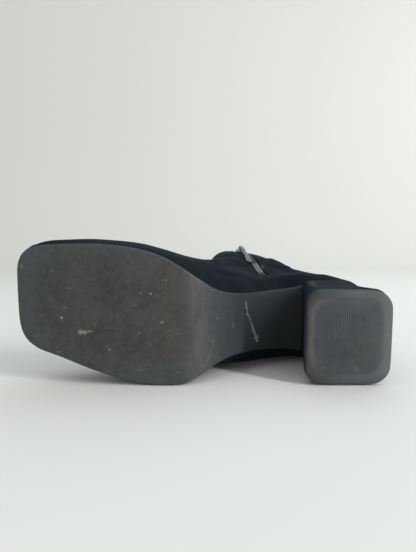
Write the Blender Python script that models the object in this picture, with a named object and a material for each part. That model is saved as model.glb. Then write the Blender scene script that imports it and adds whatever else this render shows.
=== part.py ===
"""Women's ankle boot with a rounded square toe and a block heel: one right boot, lying on its side.

The boot is worked out standing on its sole and is laid down by one empty at the end.
Standing frame: +X runs from the toe to the heel, +Y to the lateral side, +Z up from the ground.
Tables give a station (mm behind the toe), side places (mm towards the medial side from the line
that touches ball and heel on the lateral side) and heights above the ground (mm).
"""

from collections import namedtuple
import math

import bmesh
import bpy
import numpy as np
from mathutils import Matrix, Vector

MM = 0.001
GAP = 0.3                  # between pieces that meet
ORIGIN_STATION = 120.0     # station of the standing frame's origin
ORIGIN_SIDE = 31.0         # heel centre line

# Driving sizes, in mm.
SEAT_LIFT = 50.0           # underside of the waist at the heel breast
SEAT_RISE = 0.07           # slope of the heel seat
TOE_SPRING = 6.5
FLAT_FROM = 50.0           # the forefoot lies flat between these stations
FLAT_TO = 102.0
SOLE_END = 191.0           # heel breast at the top of the heel
FOREFOOT_THICKNESS = 4.6
WAIST_THICKNESS = 3.2
SOLE_EDGE = 1.0            # rounding under the sole's edge
SOLE_STEP = 7.2            # between the rows of the sole and insole
TOE_ROUND = 29.0           # depth of the toe's corners
TOE_POWER = 4.6
SEAT_END = 239.0           # back of the heel seat
SEAT_ROUND = 36.0
SEAT_POWER = 2.7
FEATHER_INSET = 0.6        # the upper's lower edge, in from the sole's edge
WALL = 1.8
COLLAR_HEIGHT = 150.0      # over the middle of the shaft
COLLAR_MIDDLE = 165.0
COLLAR_SLOPE = 0.045       # the collar rises towards the front
INSOLE_THICKNESS = 2.4
INSOLE_INSET = 3.4

LIFT_THICKNESS = 6.0
LIFT_EDGE = 0.8
PANEL_INSET = 5.5          # groove in the top lift's tread
PANEL_DEPTH = 0.5
PANEL_WIDTH = 1.0

LYING_LEAN = 2.2           # degrees that the shaft's side tips the sole from upright

ZIP_BOTTOM = 72.0
ZIP_TOP = 147.0
ZIP_STATION = 164.0
ZIP_SLANT = -0.19          # mm forward for each mm up
SLOT_WIDTH = 9.2
TAPE_WIDTH = 19.0
TAPE_THICKNESS = 0.9
CHAIN_WIDTH = 6.0
CHAIN_RISE = 2.2
TAPE_BELOW = 5.0           # tape that runs on below the slot
TAPE_RIB = 0.1             # the tape's woven rib there
TAPE_SEAT = 0.45           # depth of the tape's face below the inside of the wall

SLIDER_HEIGHT = 138.0      # middle of the slider up the zip
SLIDER_LENGTH = 11.0
SLIDER_WIDTH = 8.4
SLIDER_THICKNESS = 2.4
BRIDGE_WIDTH = 2.6
BRIDGE_RISE = 3.8
BRIDGE_BAR = 1.2
TAB_THICKNESS = 1.2
TAB_HOLE_WIDTH = 4.0
TAB_HOLE_LENGTH = 6.4
TAB_HEAD = 0.65            # of the tab, beyond its pivot
TAB_SKEW = 5.5             # degrees that the loose tab lies towards the toe
TAB_ROWS = (               # distance from the pivot, half width: eye, neck, square end
    (-TAB_HEAD, 2.1), (0.15, 2.9), (7.3, 2.9), (10.0, 1.6), (20.0, 1.9), (33.0, 2.25),
    (45.2, 2.6), (46.0, 1.9),
)
TAB_SLOPES = (             # distance from the pivot, degrees that the tab slopes down from there
    (0.0, 5.0), (7.3, 8.5), (33.0, 17.0),
)

# Sole and seat outline: medial and lateral side at each station.
Outline = namedtuple("Outline", "station medial lateral")
OUTLINE = [
    Outline(0, 88.3, 25.4),
    Outline(24, 89.6, 19.4),
    Outline(48, 90.0, 10.3),
    Outline(66, 88.7, 4.4),
    Outline(82, 85.6, 0.9),
    Outline(95, 80.6, 0.0),
    Outline(103, 75.9, 0.6),
    Outline(110, 71.1, 2.8),
    Outline(117, 66.1, 6.2),
    Outline(126, 60.0, 10.8),
    Outline(138, 56.0, 14.0),
    Outline(152, 54.6, 13.5),
    Outline(170, 54.8, 11.0),
    Outline(184, 56.0, 9.2),
    Outline(194, 58.2, 7.2),
    Outline(206, 60.4, 5.2),
    Outline(240, 60.0, 4.0),
]

# The last above the sole: centre line, fullest medial and lateral side and its height above the
# sole, and the sides that it reaches at the ankle.
Last = namedtuple("Last", "station centre medial lateral height ankle_medial ankle_lateral")
LAST = [
    Last(0, 59.4, 91.0, 23.9, 12, 88.0, 31.0),
    Last(16, 57.0, 91.6, 20.0, 12, 88.0, 24.0),
    Last(36, 53.2, 92.2, 13.5, 12, 88.0, 17.0),
    Last(57, 48.6, 91.4, 6.6, 12, 87.0, 10.0),
    Last(77, 45.0, 88.7, 1.5, 13, 85.0, 5.0),
    Last(93, 42.6, 84.6, -0.4, 15, 82.0, 2.0),
    Last(102, 41.6, 81.0, -0.7, 19, 79.0, 0.0),
    Last(112, 40.6, 78.0, -0.8, 28, 78.0, -1.5),
    Last(124, 39.4, 75.8, -1.0, 42, 79.0, -3.0),
    Last(138, 38.2, 70.5, -1.4, 36, 79.0, -4.2),
    Last(150, 37.1, 65.0, -1.5, 26, 77.6, -4.4),
    Last(163, 35.7, 62.2, -1.6, 19, 75.6, -4.3),
    Last(178, 34.2, 63.6, -1.8, 17, 72.6, -4.2),
    Last(192, 32.8, 65.6, -2.0, 17, 68.8, -4.2),
    Last(208, 31.0, 63.8, -2.1, 17, 64.6, -4.4),
    Last(244, 30.0, 62.5, -2.2, 17, 65.0, -5.0),
]
ANKLE_HEIGHT = 118.0       # the ankle sides above are reached here

# Front and back of the upper at each height, the depth of each rounded end and how square it is.
Profile = namedtuple("Profile", "height front front_depth front_power back back_depth back_power")
PROFILE = [
    Profile(0, 0.2, TOE_ROUND, TOE_POWER, SEAT_END, SEAT_ROUND, SEAT_POWER),
    Profile(14, 0.0, TOE_ROUND, TOE_POWER, SEAT_END, SEAT_ROUND, SEAT_POWER),
    Profile(20, 0.7, 29, 3.7, SEAT_END, SEAT_ROUND, SEAT_POWER),
    Profile(26, 3.0, 31, 3.2, SEAT_END, SEAT_ROUND, SEAT_POWER),
    Profile(31, 8.0, 34, 2.9, SEAT_END, SEAT_ROUND, SEAT_POWER),
    Profile(35, 18.0, 42, 2.6, SEAT_END, SEAT_ROUND, SEAT_POWER),
    Profile(39, 34.0, 50, 2.4, SEAT_END, SEAT_ROUND, SEAT_POWER),
    Profile(44, 53.0, 54, 2.3, SEAT_END, SEAT_ROUND, SEAT_POWER),
    Profile(52, 72.0, 50, 2.2, SEAT_END, SEAT_ROUND, SEAT_POWER),
    Profile(64, 89.0, 42, 2.2, 242.0, 40, 2.7),
    Profile(72, 97.0, 37, 2.2, 242.6, 42, 2.6),
    Profile(80, 103.5, 33, 2.3, 241.2, 46, 2.4),
    Profile(95, 111.5, 28, 2.3, 231.5, 54, 2.3),
    Profile(110, 115.3, 25, 2.35, 223.8, 60, 2.2),
    Profile(128, 117.0, 24, 2.4, 219.4, 60, 2.2),
    Profile(154, 116.5, 24, 2.4, 219.6, 60, 2.2),
]

# How far up each ring of the upper lies, from the sole (0) to the collar (1).
RING_LEVELS = [0.0, 0.022, 0.05, 0.082, 0.115, 0.148, 0.18, 0.214, 0.25, 0.29,
               0.335, 0.385, 0.445, 0.51, 0.585, 0.67, 0.76, 0.86, 0.94, 1.0]
SIDE_POINTS = 36           # steps of each ring along one side

# Heel block: place and corners of its outline at the seat and at the top lift.
Block = namedtuple("Block", "front back medial lateral front_corner back_corner")
BLOCK_TOP = Block(191.4, 240.0, 61.0, 4.6, 5.0, 24.0)
BLOCK_WAIST = Block(188.2, 238.0, 60.2, 3.6, 8.0, 19.0)
BLOCK_TIP = Block(182.2, 236.6, 61.3, 0.7, 11.5, 12.5)
CORNER_STEPS = 6
BEHIND_SOLE = 0.1          # share of its height over which the breast stays behind the sole's end

MATERIALS = {
    # name: (colour, roughness, metallic)
    "black_suede": ((0.012, 0.013, 0.016), 0.92, 0.0),
    "worn_rubber": ((0.052, 0.052, 0.054), 0.78, 0.0),
    "insole_leather": ((0.045, 0.040, 0.036), 0.70, 0.0),
    "zip_cloth": ((0.020, 0.020, 0.022), 0.90, 0.0),
    "zip_metal": ((0.46, 0.46, 0.48), 0.34, 1.0),
}


# ---- curves through the tables -------------------------------------------------------------

def smooth_curve(rows, column):
    """Monotone cubic through one column of a table, as a function of its first column."""
    xs = np.array([row[0] for row in rows], float)
    ys = np.array([getattr(row, column) for row in rows], float)
    steps = np.diff(xs)
    slopes = np.diff(ys) / steps
    tangents = np.zeros(len(xs))
    tangents[0] = slopes[0]
    tangents[-1] = slopes[-1]
    for i in range(1, len(xs) - 1):
        if slopes[i - 1] * slopes[i] > 0:
            before = 2 * steps[i] + steps[i - 1]
            after = steps[i] + 2 * steps[i - 1]
            tangents[i] = (before + after) / (before / slopes[i - 1] + after / slopes[i])

    def value(x):
        x = np.clip(np.asarray(x, float), xs[0], xs[-1])
        i = np.clip(np.searchsorted(xs, x) - 1, 0, len(xs) - 2)
        t = (x - xs[i]) / steps[i]
        square = t * t
        cube = square * t
        return ((2 * cube - 3 * square + 1) * ys[i] + (cube - 2 * square + t) * steps[i] * tangents[i]
                + (3 * square - 2 * cube) * ys[i + 1] + (cube - square) * steps[i] * tangents[i + 1])

    return value


outline = {name: smooth_curve(OUTLINE, name) for name in Outline._fields}
last = {name: smooth_curve(LAST, name) for name in Last._fields}
profile = {name: smooth_curve(PROFILE, name) for name in Profile._fields}


def smoothstep(x):
    x = np.clip(x, 0.0, 1.0)
    return x * x * (3 - 2 * x)


def rounded_end(distance, depth, power):
    """How far a rounded end has opened, 0 to 1, at a distance in from its tip."""
    rest = np.clip(1 - np.asarray(distance, float) / depth, 0.0, 1.0)
    return (1 - rest ** power) ** (1 / power)


def sole_underside(station):
    spring = TOE_SPRING * np.clip((FLAT_FROM - station) / FLAT_FROM, 0, 1) ** 1.8
    waist = SEAT_LIFT * smoothstep((station - FLAT_TO) / (SOLE_END - 5 - FLAT_TO))
    seat = SEAT_RISE * np.clip(station - SOLE_END, 0, None)
    return spring + waist + seat


def sole_top(station):
    thin = smoothstep((station - FLAT_TO) / 40)
    return sole_underside(station) + FOREFOOT_THICKNESS + (WAIST_THICKNESS - FOREFOOT_THICKNESS) * thin


def point(station, side, height):
    """A place in the standing frame, in metres."""
    return Vector(((station - ORIGIN_STATION) * MM, (ORIGIN_SIDE - side) * MM, height * MM))


# ---- the last's surface --------------------------------------------------------------------

def half_width(side, station, height):
    """Distance of the upper from its centre line, before its ends round off."""
    centre = last["centre"](station)
    sign = 1 if side == "medial" else -1
    feather = sign * (outline[side](station) - centre) - FEATHER_INSET
    full = sign * (last[side](station) - centre)
    ankle = sign * (last["ankle_" + side](station) - centre)
    floor = sole_top(station) + GAP
    belly = floor + last["height"](station)
    low = feather + (full - feather) * np.sin(np.pi / 2 * np.clip((height - floor) / (belly - floor), 0, 1))
    rise = smoothstep((height - belly) / (ANKLE_HEIGHT - belly))
    return low + (ankle - full) * rise


def end_rounding(station, height):
    front = rounded_end(station - profile["front"](height), profile["front_depth"](height),
                        profile["front_power"](height))
    back = rounded_end(profile["back"](height) - station, profile["back_depth"](height),
                       profile["back_power"](height))
    return front * back


def side_place(side, station, height):
    """Side coordinate of the upper's outer face."""
    sign = 1 if side == "medial" else -1
    reach = half_width(side, station, height) * end_rounding(station, height)
    return last["centre"](station) + sign * reach


def ring_height(level, station):
    floor = sole_top(station) + GAP
    collar = COLLAR_HEIGHT + COLLAR_SLOPE * (COLLAR_MIDDLE - station)
    return floor + (collar - floor) * level


def ring_end(level, end):
    """Station where a ring crosses the centre line, found by halving."""
    inside, outside = 150.0, (-1.0 if end == "front" else 246.0)
    for _ in range(40):
        middle = (inside + outside) / 2
        limit = profile[end](ring_height(level, middle))
        past = middle < limit if end == "front" else middle > limit
        if past:
            outside = middle
        else:
            inside = middle
    return inside


def spread(stations, places, heights, count):
    """Points along a curve, closer together where it bends."""
    path = np.column_stack([stations, places, heights])
    steps = np.diff(path, axis=0)
    lengths = np.linalg.norm(steps, axis=1) + 1e-9
    heading = steps / lengths[:, None]
    turn = np.zeros(len(lengths))
    turn[1:] = np.arccos(np.clip(np.sum(heading[1:] * heading[:-1], axis=1), -1, 1))
    weight = np.concatenate([[0], np.cumsum(lengths + 16.0 * turn)])
    wanted = np.linspace(0, weight[-1], count + 1)
    return np.column_stack([np.interp(wanted, weight, path[:, axis]) for axis in range(3)])


def upper_ring(level):
    """One closed ring: toe to heel on the medial side, back to the toe on the lateral side."""
    front = ring_end(level, "front")
    back = ring_end(level, "back")
    turn = np.linspace(0, np.pi, 1201)
    stations = front + (back - front) * (1 - np.cos(turn)) / 2
    stations = np.sort(np.concatenate([stations, front + (back - front) * np.linspace(0, 1, 400) ** 4,
                                       back - (back - front) * np.linspace(0, 1, 400) ** 4]))
    stations = np.unique(np.clip(stations, front, back))
    heights = ring_height(level, stations)
    sides = {}
    for side in ("medial", "lateral"):
        places = side_place(side, stations, heights)
        places[0] = last["centre"](front)
        places[-1] = last["centre"](back)
        sides[side] = spread(stations, places, heights, SIDE_POINTS)
    return np.vstack([sides["medial"][:-1], sides["lateral"][::-1][:-1]])


# ---- mesh helpers --------------------------------------------------------------------------

def make_material(name):
    colour, roughness, metallic = MATERIALS[name]
    material = bpy.data.materials.new(name)
    material.use_nodes = True
    shader = material.node_tree.nodes["Principled BSDF"]
    shader.inputs["Base Color"].default_value = (*colour, 1.0)
    shader.inputs["Roughness"].default_value = roughness
    shader.inputs["Metallic"].default_value = metallic
    return material


def make_object(name, points, faces, material, origin=None, sharp_degrees=38):
    """Mesh object from points of the standing frame, its faces turned outwards."""
    start = origin or Vector((0, 0, 0))
    mesh = bpy.data.meshes.new(name)
    mesh.from_pydata([Vector(place) - start for place in points], [], faces)
    work = bmesh.new()
    work.from_mesh(mesh)
    bmesh.ops.remove_doubles(work, verts=work.verts, dist=1e-7)
    bmesh.ops.recalc_face_normals(work, faces=work.faces)
    work.to_mesh(mesh)
    work.free()
    mesh.shade_smooth()
    mesh.set_sharp_from_angle(angle=math.radians(sharp_degrees))
    mesh.materials.append(bpy.data.materials.get(material) or make_material(material))
    obj = bpy.data.objects.new(name, mesh)
    obj.location = start
    bpy.context.collection.objects.link(obj)
    return obj


def ring_faces(first, second, closed=True):
    """Quads between two rows of point numbers."""
    count = len(first)
    last_step = count if closed else count - 1
    return [(first[i], first[(i + 1) % count], second[(i + 1) % count], second[i])
            for i in range(last_step)]


def stack(rows):
    """Rows of equal length as one point list, with the numbers of each row."""
    points = [place for row in rows for place in row]
    numbers = []
    start = 0
    for row in rows:
        numbers.append(list(range(start, start + len(row))))
        start += len(row)
    return points, numbers


# ---- sole, insole and upper ----------------------------------------------------------------

def plate(name, stations, sides, bottom, top, edge, material, columns=8):
    """Plate that follows the sole from station to station, its lower edge rounded by `edge`."""
    rows = []
    for station in stations:
        lateral, medial = sides(station)
        inner_lateral = lateral + min(edge, (medial - lateral) * 0.2)
        inner_medial = medial - min(edge, (medial - lateral) * 0.2)
        under = [point(station, place, bottom(station))
                 for place in np.linspace(inner_lateral, inner_medial, columns + 1)]
        over = [point(station, place, top(station))
                for place in np.linspace(medial, lateral, columns + 1)]
        wall_medial = point(station, medial, bottom(station) + edge)
        wall_lateral = point(station, lateral, bottom(station) + edge)
        rows.append(under + [wall_medial] + over + [wall_lateral])
    points, numbers = stack(rows)
    faces = []
    for first, second in zip(numbers, numbers[1:]):
        faces += ring_faces(first, second)
    over_start = columns + 2
    for row in (numbers[0], numbers[-1]):
        under = row[:columns + 1]
        over = row[over_start:over_start + columns + 1][::-1]
        faces += ring_faces(under, over, closed=False)
        faces.append((under[-1], row[columns + 1], over[-1]))
        faces.append((under[0], over[0], row[-1]))
    return make_object(name, points, faces, material)


def toe_stations(first, end):
    """Stations from the toe, closer together in its corners and where the sole leaves the ground."""
    near = [0.12, 0.6, 1.6, 3.2, 5.5, 8.8, 13.0, 18.0, 23.5, TOE_ROUND]
    start = TOE_ROUND + SOLE_STEP
    rest = np.linspace(start, end, round((end - start) / SOLE_STEP) + 1)
    bend = [station for station in rest if FLAT_TO - 12 < station < FLAT_TO + 30]
    between = [station - SOLE_STEP / 2 for station in bend]
    return [first + station for station in near] + sorted(list(rest) + between)


def sole_sides(station):
    lateral = float(outline["lateral"](station))
    medial = float(outline["medial"](station))
    opening = float(rounded_end(station, TOE_ROUND, TOE_POWER))
    centre = float(last["centre"](station))
    return centre - (centre - lateral) * opening, centre + (medial - centre) * opening


def insole_sides(station):
    lateral = float(outline["lateral"](station)) + INSOLE_INSET
    medial = float(outline["medial"](station)) - INSOLE_INSET
    centre = float(last["centre"](station))
    opening = float(rounded_end(station - INSOLE_INSET, TOE_ROUND, TOE_POWER))
    opening *= float(rounded_end(SEAT_END - INSOLE_INSET - station, SEAT_ROUND - INSOLE_INSET, SEAT_POWER))
    return centre - (centre - lateral) * opening, centre + (medial - centre) * opening


def build_outsole():
    stations = toe_stations(0.0, SOLE_END)
    return plate("outsole", stations, sole_sides, sole_underside, sole_top, SOLE_EDGE, "worn_rubber")


def build_insole():
    back = SEAT_END - INSOLE_INSET
    stations = [station for station in toe_stations(INSOLE_INSET, back) if station < back - 22]
    stations += [back - inset for inset in (18.0, 12.5, 8.0, 4.6, 2.0, 0.6, 0.1)]

    def bottom(station):
        return float(sole_top(station)) + GAP

    def top(station):
        return bottom(station) + INSOLE_THICKNESS

    return plate("insole", stations, insole_sides, bottom, top, 0.4, "insole_leather", columns=6)


def build_upper():
    rows = [[point(*place) for place in upper_ring(level)] for level in RING_LEVELS]
    points, numbers = stack(rows)
    faces = []
    for first, second in zip(numbers, numbers[1:]):
        faces += ring_faces(first, second)
    upper = make_object("upper", points, faces, "black_suede", sharp_degrees=60)
    turn_outwards(upper.data)
    wall = upper.modifiers.new("wall", "SOLIDIFY")
    wall.thickness = WALL * MM
    wall.offset = -1
    wall.use_even_offset = True
    slot = upper.modifiers.new("zip_slot", "BOOLEAN")
    slot.object = slot_cutter()
    slot.solver = "EXACT"
    return upper


def turn_outwards(mesh):
    """Faces of the open shell point away from its middle."""
    work = bmesh.new()
    work.from_mesh(mesh)
    work.faces.ensure_lookup_table()
    toe = min(work.faces, key=lambda face: face.calc_center_median().x)
    if toe.normal.x > 0:
        bmesh.ops.reverse_faces(work, faces=work.faces)
    work.to_mesh(mesh)
    work.free()


# ---- heel ----------------------------------------------------------------------------------

def block_outline(block):
    """Rounded outline of the heel, starting at the breast's lateral corner."""
    corners = [
        (block.front, block.lateral, block.front_corner, 180),
        (block.back, block.lateral, block.back_corner, 270),
        (block.back, block.medial, block.back_corner, 0),
        (block.front, block.medial, block.front_corner, 90),
    ]
    places = []
    for station, side, radius, start in corners:
        centre_station = station + radius if start in (180, 90) else station - radius
        centre_side = side + radius if start in (180, 270) else side - radius
        for step in range(CORNER_STEPS + 1):
            angle = math.radians(start + 90 * step / CORNER_STEPS)
            places.append((centre_station + radius * math.cos(angle),
                           centre_side + radius * math.sin(angle)))
    return places


def mix_blocks(first, second, share):
    return Block(*[a + (b - a) * share for a, b in zip(first, second)])


def block_at(share):
    """Heel outline at a share of the way from the seat (0) to the top lift (1)."""
    if share < 0.5:
        return mix_blocks(BLOCK_TOP, BLOCK_WAIST, share / 0.5)
    return mix_blocks(BLOCK_WAIST, BLOCK_TIP, (share - 0.5) / 0.5)


def shrink(places, share):
    middle = np.mean(places, axis=0)
    return [tuple(middle + (np.array(place) - middle) * share) for place in places]


def cap(points, ring, inner_rings, faces):
    """Closes a ring with smaller rings and a fan."""
    previous = ring
    for inner in inner_rings:
        start = len(points)
        points.extend(inner)
        current = list(range(start, start + len(inner)))
        faces.extend(ring_faces(previous, current))
        previous = current
    middle = sum((Vector(points[i]) for i in previous), Vector()) / len(previous)
    points.append(middle)
    centre = len(points) - 1
    count = len(previous)
    faces.extend((previous[i], previous[(i + 1) % count], centre) for i in range(count))


def build_heel_block():
    top = block_outline(BLOCK_TOP)
    foot = LIFT_THICKNESS + GAP
    rows = [[point(station, side, float(sole_top(station))) for station, side in top]]
    for share in (BEHIND_SOLE, 0.28, 0.45, 0.62, 0.82, 1.0):
        shape = block_at((share - BEHIND_SOLE) / (1 - BEHIND_SOLE))
        places = block_outline(shape)
        row = []
        for (station, side), (top_station, _) in zip(places, top):
            start = float(sole_top(top_station))
            row.append(point(station, side, start + (foot - start) * share))
        rows.append(row)
    points, numbers = stack(rows)
    faces = []
    for first, second in zip(numbers, numbers[1:]):
        faces += ring_faces(first, second)
    seat_rings = [[point(station, side, float(sole_top(station))) for station, side in shrink(top, share)]
                  for share in (0.66, 0.33)]
    cap(points, numbers[0], seat_rings, faces)
    tip = block_outline(BLOCK_TIP)
    cap(points, numbers[-1], [[point(station, side, foot) for station, side in shrink(tip, 0.5)]], faces)
    return make_object("heel_block", points, faces, "black_suede")


def inset_block(block, inset):
    return Block(block.front + inset, block.back - inset, block.medial - inset, block.lateral + inset,
                 block.front_corner - inset, block.back_corner - inset)


def build_top_lift():
    levels = [
        (0.0, LIFT_THICKNESS),
        (0.0, LIFT_EDGE),
        (LIFT_EDGE, 0.0),
        (PANEL_INSET, 0.0),
        (PANEL_INSET + PANEL_WIDTH / 2, PANEL_DEPTH),
        (PANEL_INSET + PANEL_WIDTH, 0.0),
    ]
    rows = [[point(station, side, height) for station, side in block_outline(inset_block(BLOCK_TIP, inset))]
            for inset, height in levels]
    points, numbers = stack(rows)
    faces = []
    for first, second in zip(numbers, numbers[1:]):
        faces += ring_faces(first, second)
    faces.append(tuple(numbers[-1]))
    faces.append(tuple(numbers[0]))
    return make_object("top_lift", points, faces, "worn_rubber", sharp_degrees=20)


# ---- zip -----------------------------------------------------------------------------------

def zip_station(height):
    return ZIP_STATION + ZIP_SLANT * (height - ZIP_BOTTOM)


def wall_frame(station, height):
    """Place and outward normal of the medial face, and its directions across and up."""
    step = 1.0

    def place(s, h):
        return point(s, float(side_place("medial", s, h)), h)

    across = (place(station + step, height) - place(station - step, height)).normalized()
    up = (place(station + ZIP_SLANT * step, height + step)
          - place(station - ZIP_SLANT * step, height - step)).normalized()
    normal = across.cross(up).normalized()
    if normal.y > 0:
        normal.negate()
    return place(station, height), normal, across, up


def zip_strip(sections, heights):
    """Closed strip along the zip, with (across, outward) pairs round its section at each height."""
    rows = []
    for section, height in zip(sections, heights):
        row = []
        for across, outward in section:
            place, normal, _, _ = wall_frame(float(zip_station(height)) + across, height)
            row.append(place + normal * outward * MM)
        rows.append(row)
    points, numbers = stack(rows)
    faces = []
    for first, second in zip(numbers, numbers[1:]):
        faces += ring_faces(first, second)
    return points, numbers, faces


def slot_cutter():
    half = SLOT_WIDTH / 2
    section = [(-half, 5.0), (0, 5.0), (half, 5.0), (half, -7.0), (0, -7.0), (-half, -7.0)]
    heights = list(np.linspace(ZIP_BOTTOM, ZIP_TOP, 12)) + [COLLAR_HEIGHT + 6]
    points, numbers, faces = zip_strip([section] * len(heights), heights)
    faces += [tuple(numbers[0]), tuple(numbers[-1])]
    cutter = make_object("slot_cutter", points, faces, "black_suede")
    cutter.hide_render = True
    cutter.display_type = "WIRE"
    return cutter


def build_zip_tape():
    """Both tapes and the closed chain, held behind the slot."""
    edge = TAPE_WIDTH / 2
    chain = CHAIN_WIDTH / 2
    face = -(WALL + TAPE_SEAT)
    back = face - TAPE_THICKNESS

    def section(rise):
        crown = face + rise
        return [(-edge, face), (-chain - 1.0, face), (-chain, face), (-chain, crown), (0, crown),
                (chain, crown), (chain, face), (chain + 1.0, face), (edge, face),
                (edge, back), (0, back), (-edge, back)]

    flat = [ZIP_BOTTOM - TAPE_BELOW, ZIP_BOTTOM + GAP]
    raised = list(np.linspace(ZIP_BOTTOM + 2 * GAP, ZIP_TOP, 12))
    sections = [section(TAPE_RIB)] * len(flat) + [section(CHAIN_RISE)] * len(raised)
    points, numbers, faces = zip_strip(sections, flat + raised)
    for row in (numbers[0], numbers[-1]):
        faces += [(row[0], row[1], row[2], row[10], row[11]), (row[2], row[3], row[4], row[10]),
                  (row[4], row[5], row[6], row[10]), (row[6], row[7], row[8], row[9], row[10])]
    return make_object("zip_tape", points, faces, "zip_cloth")


def slider_frame():
    """Frame at the chain's crown: X across, Y up the zip, Z outwards."""
    place, normal, across, up = wall_frame(float(zip_station(SLIDER_HEIGHT)), SLIDER_HEIGHT)
    across = up.cross(normal).normalized()
    crown = -(WALL + TAPE_SEAT) + CHAIN_RISE
    frame = Matrix.Identity(4)
    for column, axis in enumerate((across, up, normal)):
        frame.col[column] = (*axis, 0.0)
    frame.translation = place + normal * (crown + GAP) * MM
    return frame


def extrude_outline(places, low, high):
    """Prism of a flat outline: places in X and Y, low and high in Z, in mm."""
    count = len(places)
    points = [Vector((x, y, low)) * MM for x, y in places]
    points += [Vector((x, y, high)) * MM for x, y in places]
    bottom = list(range(count))
    top = list(range(count, 2 * count))
    faces = ring_faces(bottom, top)
    faces += [tuple(bottom), tuple(top)]
    return points, faces


def build_slider(frame):
    """Slider body, narrower at its lower end, with the arched bridge that carries the pull."""
    half = SLIDER_WIDTH / 2
    length = SLIDER_LENGTH / 2
    places = [(-half * 0.62, -length), (half * 0.62, -length), (half * 0.86, -length * 0.3),
              (half, length * 0.5), (half * 0.8, length), (-half * 0.8, length),
              (-half, length * 0.5), (-half * 0.86, -length * 0.3)]
    points, faces = extrude_outline(places, 0.0, SLIDER_THICKNESS)
    slider = make_object("zip_slider", [frame @ place for place in points], faces, "zip_metal",
                         sharp_degrees=25)
    top = SLIDER_THICKNESS + BRIDGE_RISE
    foot = SLIDER_THICKNESS - 0.6
    outer = 4.2
    arch = [(-outer, foot), (-outer, top - 1.4), (-outer + 1.4, top), (outer - 1.4, top),
            (outer, top - 1.4), (outer, foot), (outer - BRIDGE_BAR, foot),
            (outer - BRIDGE_BAR, top - BRIDGE_BAR), (-outer + BRIDGE_BAR, top - BRIDGE_BAR),
            (-outer + BRIDGE_BAR, foot)]
    width = BRIDGE_WIDTH / 2
    bridge_points, bridge_faces = extrude_outline(arch, -width, width)
    swap = Matrix(((0, 0, 1, 0), (1, 0, 0, 0), (0, 1, 0, 0), (0, 0, 0, 1)))
    bridge = make_object("bridge_tool", [frame @ (swap @ place) for place in bridge_points],
                         bridge_faces, "zip_metal")
    bridge.hide_render = True
    bridge.display_type = "WIRE"
    join = slider.modifiers.new("bridge", "BOOLEAN")
    join.operation = "UNION"
    join.object = bridge
    join.solver = "EXACT"
    return slider


def tab_pivot_height():
    return SLIDER_THICKNESS + (BRIDGE_RISE - BRIDGE_BAR) / 2


def tab_drop(distance):
    """Height lost down to a distance along the tab, which is shaped to the wall below it."""
    slopes = [(start, math.tan(math.radians(degrees))) for start, degrees in TAB_SLOPES]
    drop = distance * slopes[0][1]
    for (_, before), (start, slope) in zip(slopes, slopes[1:]):
        drop += max(distance - start, 0.0) * (slope - before)
    return drop


def build_pull_tab(frame):
    """Pull tab hung from the bridge: it lies down the zip and swings up over the collar."""
    half = TAB_THICKNESS / 2
    points = []
    for distance, width in TAB_ROWS:
        middle = -tab_drop(distance)
        for x, z in ((-width, -half), (width, -half), (width, half), (-width, half)):
            points.append(Vector((x, -distance, middle + z)) * MM)
    rows = [list(range(4 * row, 4 * row + 4)) for row in range(len(TAB_ROWS))]
    faces = [tuple(rows[0]), tuple(rows[-1])]
    for first, second in zip(rows, rows[1:]):
        faces += ring_faces(first, second)
    pivot = frame @ Vector((0, 0.0, tab_pivot_height() * MM))
    turn = frame.to_3x3() @ Matrix.Rotation(math.radians(-TAB_SKEW), 3, "Z")
    tab = make_object("pull_tab", [pivot + turn @ place for place in points], faces, "zip_metal",
                      origin=pivot, sharp_degrees=25)
    hole_half = TAB_HOLE_WIDTH / 2
    hole = [(-hole_half, -TAB_HOLE_LENGTH), (-hole_half, -TAB_HEAD), (hole_half, -TAB_HEAD),
            (hole_half, -TAB_HOLE_LENGTH)]
    hole_points, hole_faces = extrude_outline(hole, -half - 2, half + 2)
    cutter = make_object("tab_hole", [pivot + turn @ place for place in hole_points], hole_faces,
                         "zip_metal")
    cutter.hide_render = True
    cutter.display_type = "WIRE"
    cut = tab.modifiers.new("hole", "BOOLEAN")
    cut.object = cutter
    cut.solver = "EXACT"
    return tab


# ---- laying the boot down ------------------------------------------------------------------

def lay_down(objects):
    """Turns the boot onto its lateral side, with the middle of its box at the origin."""
    holder = bpy.data.objects.new("lying_boot", None)
    bpy.context.collection.objects.link(holder)
    holder.rotation_euler = (-math.radians(90 - LYING_LEAN), 0, 0)
    turn = holder.rotation_euler.to_matrix()
    bpy.context.view_layer.update()
    graph = bpy.context.evaluated_depsgraph_get()
    corners = []
    for obj in objects:
        if obj.hide_render:
            continue
        shape = obj.evaluated_get(graph).to_mesh()
        corners += [turn @ (obj.matrix_world @ vertex.co) for vertex in shape.vertices]
        obj.evaluated_get(graph).to_mesh_clear()
    spots = np.array([tuple(corner) for corner in corners])
    low, high = spots.min(axis=0), spots.max(axis=0)
    holder.location = (-(low[0] + high[0]) / 2, -(low[1] + high[1]) / 2, -low[2])
    for obj in objects:
        obj.parent = holder


def main():
    for obj in list(bpy.data.objects):
        bpy.data.objects.remove(obj, do_unlink=True)
    build_outsole()
    build_insole()
    build_upper()
    build_heel_block()
    build_top_lift()
    build_zip_tape()
    frame = slider_frame()
    build_slider(frame)
    build_pull_tab(frame)
    lay_down(list(bpy.data.objects))


main()
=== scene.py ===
import math

import bpy
import numpy as np
from mathutils import Matrix, Vector
from mathutils.bvhtree import BVHTree


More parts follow.
